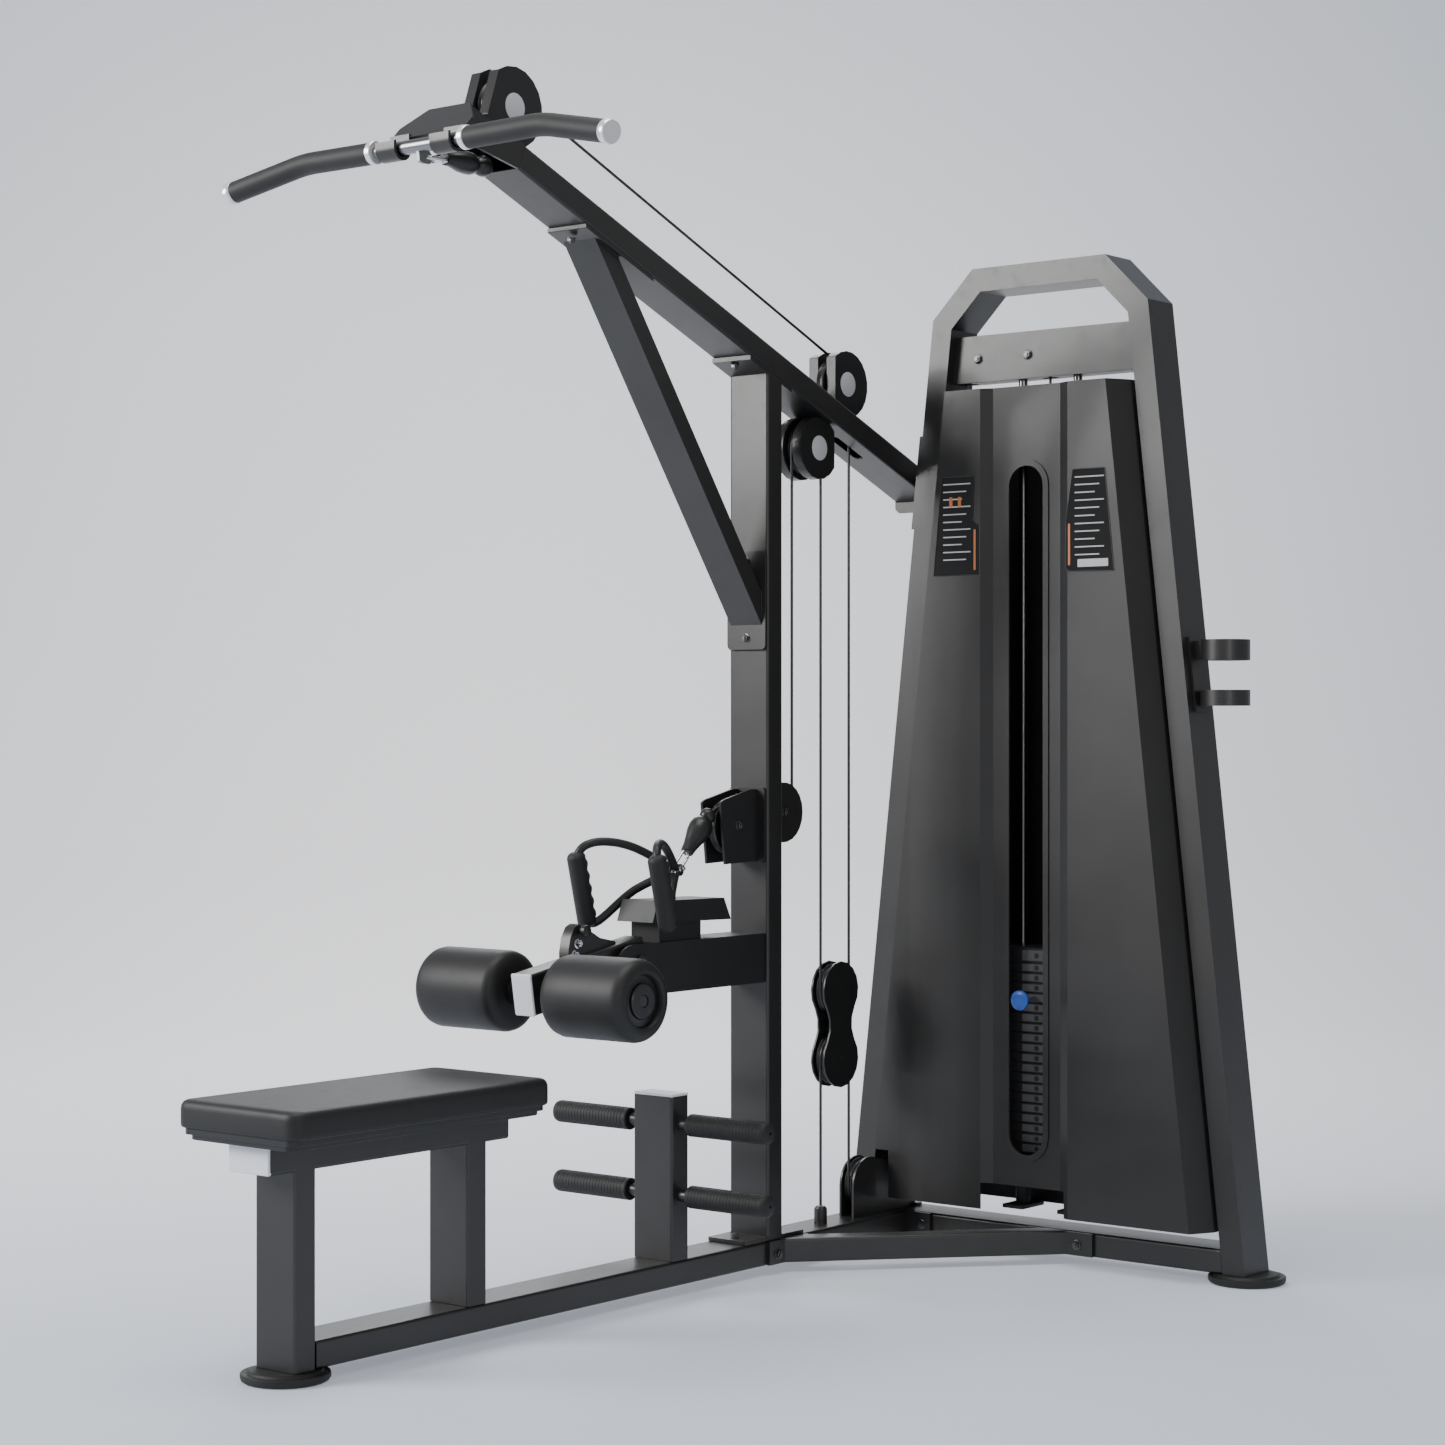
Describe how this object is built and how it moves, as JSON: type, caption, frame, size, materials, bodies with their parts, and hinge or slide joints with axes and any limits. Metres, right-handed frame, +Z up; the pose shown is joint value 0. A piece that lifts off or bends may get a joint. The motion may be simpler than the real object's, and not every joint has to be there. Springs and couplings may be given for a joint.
{
  "type": "lat_pulldown_machine",
  "caption": "Selectorised lat pulldown and low row machine: flat boom on a column, weight tower with shroud, padded seat, thigh rollers, foot pegs and cable pulleys.",
  "frame": {"origin": "The centre of the bounding box in plan, on the floor under the machine.", "axes": "+Z is up. -Y is the seat end, where the user sits and the pulldown bar hangs; +Y is the tower end. +X is the side the weight tower stands on."},
  "size_m": [1.4122, 2.0206, 2.3418],
  "materials": {
    "frame_paint": "satin",
    "bare_steel": "brushed",
    "chrome": "polished",
    "plate_paint": "matte",
    "shroud_paint": "satin",
    "black_plastic": "matte",
    "rubber": "matte",
    "upholstery": "grained",
    "cable_coat": "gloss",
    "blue_plastic": "gloss"
  },
  "bodies": {
    "frame": {"bar_hook_bracket": "frame_paint", "base_diagonal": "frame_paint", "base_pulley_bracket": "frame_paint", "boom": "frame_paint", "boom_brace": "frame_paint", "boom_pulley_housing": "black_plastic", "cable_lower_loop": "cable_coat", "cable_pull": "cable_coat", "cable_row": "cable_coat", "cable_stack": "cable_coat", "cable_upper_loop": "cable_coat", "column": "frame_paint", "cup_holder": "frame_paint", "foot_front": "rubber", "foot_left": "rubber", "foot_peg_grip_lower_left": "rubber", "foot_peg_grip_lower_right": "rubber", "foot_peg_grip_upper_left": "rubber", "foot_peg_grip_upper_right": "rubber", "foot_peg_post": "frame_paint", "foot_right": "rubber", "guide_rod_left": "chrome", "guide_rod_right": "chrome", "main_beam": "frame_paint", "resting_plates": "plate_paint", "row_bracket": "frame_paint", "seat_board": "black_plastic", "seat_cushion": "upholstery", "seat_frame": "frame_paint", "shroud_front": "shroud_paint", "shroud_rear": "shroud_paint", "thigh_housing": "frame_paint", "top_pulley_housing": "black_plastic", "tower_base_beam": "frame_paint", "tower_frame": "frame_paint", "under_pulley_housing": "black_plastic"},
    "lat_bar": {"lat_bar": "chrome", "lat_grip_left": "rubber", "lat_grip_right": "rubber", "lat_connector": "frame_paint"},
    "row_handle": {"row_handle": "bare_steel", "row_connector": "black_plastic"},
    "floating_block": {"floating_block": "black_plastic"},
    "stack": {"stack_head": "plate_paint", "lifted_plates": "plate_paint"},
    "selector_pin": {"selector_pin": "blue_plastic"},
    "thigh_arm": {"thigh_arm": "frame_paint"},
    "roller_left": {"thigh_roller_left": "upholstery"},
    "roller_right": {"thigh_roller_right": "upholstery"},
    "wheel_top": {"wheel_top": "black_plastic"},
    "wheel_boom_upper": {"wheel_boom_upper": "black_plastic"},
    "wheel_boom_lower": {"wheel_boom_lower": "black_plastic"},
    "wheel_row_rear": {"wheel_row_rear": "black_plastic"},
    "wheel_row_front": {"wheel_row_front": "black_plastic"},
    "wheel_block_upper": {"wheel_block_upper": "black_plastic"},
    "wheel_block_lower": {"wheel_block_lower": "black_plastic"},
    "wheel_base_front": {"wheel_base_front": "black_plastic"},
    "wheel_base_rear": {"wheel_base_rear": "black_plastic"},
    "wheel_tower_left": {"wheel_tower_left": "black_plastic"},
    "wheel_tower_right": {"wheel_tower_right": "black_plastic"}
  },
  "joints": [
    {"name": "lat_bar_pull", "type": "slide", "parent": "frame", "child": "lat_bar", "axis": [0, 0, -1], "range_m": [0, 1], "deforming": ["cable_pull"]},
    {"name": "stack_lift", "type": "slide", "parent": "frame", "child": "stack", "axis": [0, 0, 1], "range_m": [0, 1], "deforming": ["cable_stack"]},
    {"name": "block_lift", "type": "slide", "parent": "frame", "child": "floating_block", "axis": [0, 0, 1], "range_m": [0, 0.5], "deforming": ["cable_upper_loop", "cable_lower_loop"]},
    {"name": "row_handle_pull", "type": "slide", "parent": "frame", "child": "row_handle", "axis": [0, -1, 0], "range_m": [0, 0.6], "deforming": ["cable_row"]},
    {"name": "selector_pin_pull", "type": "slide", "parent": "stack", "child": "selector_pin", "axis": [0, -1, 0], "range_m": [0, 0.075]},
    {"name": "thigh_arm_tilt", "type": "hinge", "parent": "frame", "child": "thigh_arm", "pos_m": [-0.22059, -0.00335, 0.666], "axis": [1, 0, 0], "range_deg": [-3, 10]},
    {"name": "roller_left_spin", "type": "hinge", "parent": "thigh_arm", "child": "roller_left", "pos_m": [-0.38059, -0.24735, 0.618], "axis": [1, 0, 0], "continuous": true},
    {"name": "roller_right_spin", "type": "hinge", "parent": "thigh_arm", "child": "roller_right", "pos_m": [-0.06059, -0.24735, 0.618], "axis": [1, 0, 0], "continuous": true},
    {"name": "wheel_top_spin", "type": "hinge", "parent": "frame", "child": "wheel_top", "pos_m": [-0.22059, -0.35235, 2.266], "axis": [1, 0, 0], "continuous": true},
    {"name": "wheel_boom_upper_spin", "type": "hinge", "parent": "frame", "child": "wheel_boom_upper", "pos_m": [-0.22059, 0.68265, 1.845], "axis": [1, 0, 0], "continuous": true},
    {"name": "wheel_boom_lower_spin", "type": "hinge", "parent": "frame", "child": "wheel_boom_lower", "pos_m": [-0.22059, 0.58265, 1.703], "axis": [1, 0, 0], "continuous": true},
    {"name": "wheel_row_rear_spin", "type": "hinge", "parent": "frame", "child": "wheel_row_rear", "pos_m": [-0.22059, 0.48265, 0.942], "axis": [1, 0, 0], "continuous": true},
    {"name": "wheel_row_front_spin", "type": "hinge", "parent": "frame", "child": "wheel_row_front", "pos_m": [-0.22059, 0.32065, 0.917], "axis": [1, 0, 0], "continuous": true},
    {"name": "wheel_block_upper_spin", "type": "hinge", "parent": "floating_block", "child": "wheel_block_upper", "pos_m": [-0.22059, 0.68265, 0.56], "axis": [1, 0, 0], "continuous": true},
    {"name": "wheel_block_lower_spin", "type": "hinge", "parent": "floating_block", "child": "wheel_block_lower", "pos_m": [-0.22059, 0.68265, 0.414], "axis": [1, 0, 0], "continuous": true},
    {"name": "wheel_base_front_spin", "type": "hinge", "parent": "frame", "child": "wheel_base_front", "pos_m": [-0.22059, 0.78265, 0.137], "axis": [1, 0, 0], "continuous": true},
    {"name": "wheel_base_rear_spin", "type": "hinge", "parent": "frame", "child": "wheel_base_rear", "pos_m": [-0.22059, 0.89435, 0.125], "axis": [1, 0, 0], "continuous": true},
    {"name": "wheel_tower_left_spin", "type": "hinge", "parent": "frame", "child": "wheel_tower_left", "pos_m": [-0.00459, 0.93235, 1.906], "axis": [0, 1, 0], "continuous": true},
    {"name": "wheel_tower_right_spin", "type": "hinge", "parent": "frame", "child": "wheel_tower_right", "pos_m": [0.12141, 0.93235, 1.906], "axis": [0, 1, 0], "continuous": true}
  ],
  "couplings": [
    {"joint": "stack_lift", "follows": "lat_bar_pull", "ratio": 1},
    {"joint": "block_lift", "follows": "lat_bar_pull", "ratio": 0.5},
    {"joint": "wheel_top_spin", "follows": "lat_bar_pull", "rad_per_m": 20},
    {"joint": "wheel_boom_upper_spin", "follows": "lat_bar_pull", "rad_per_m": 20},
    {"joint": "wheel_boom_lower_spin", "follows": "row_handle_pull", "rad_per_m": 20},
    {"joint": "wheel_row_rear_spin", "follows": "row_handle_pull", "rad_per_m": -20},
    {"joint": "wheel_row_front_spin", "follows": "row_handle_pull", "rad_per_m": 20},
    {"joint": "wheel_block_upper_spin", "follows": "lat_bar_pull", "rad_per_m": 10},
    {"joint": "wheel_block_lower_spin", "follows": "lat_bar_pull", "rad_per_m": 10},
    {"joint": "wheel_base_front_spin", "follows": "lat_bar_pull", "rad_per_m": -20},
    {"joint": "wheel_base_rear_spin", "follows": "lat_bar_pull", "rad_per_m": -26.3},
    {"joint": "wheel_tower_left_spin", "follows": "lat_bar_pull", "rad_per_m": -25},
    {"joint": "wheel_tower_right_spin", "follows": "lat_bar_pull", "rad_per_m": -25}
  ]
}
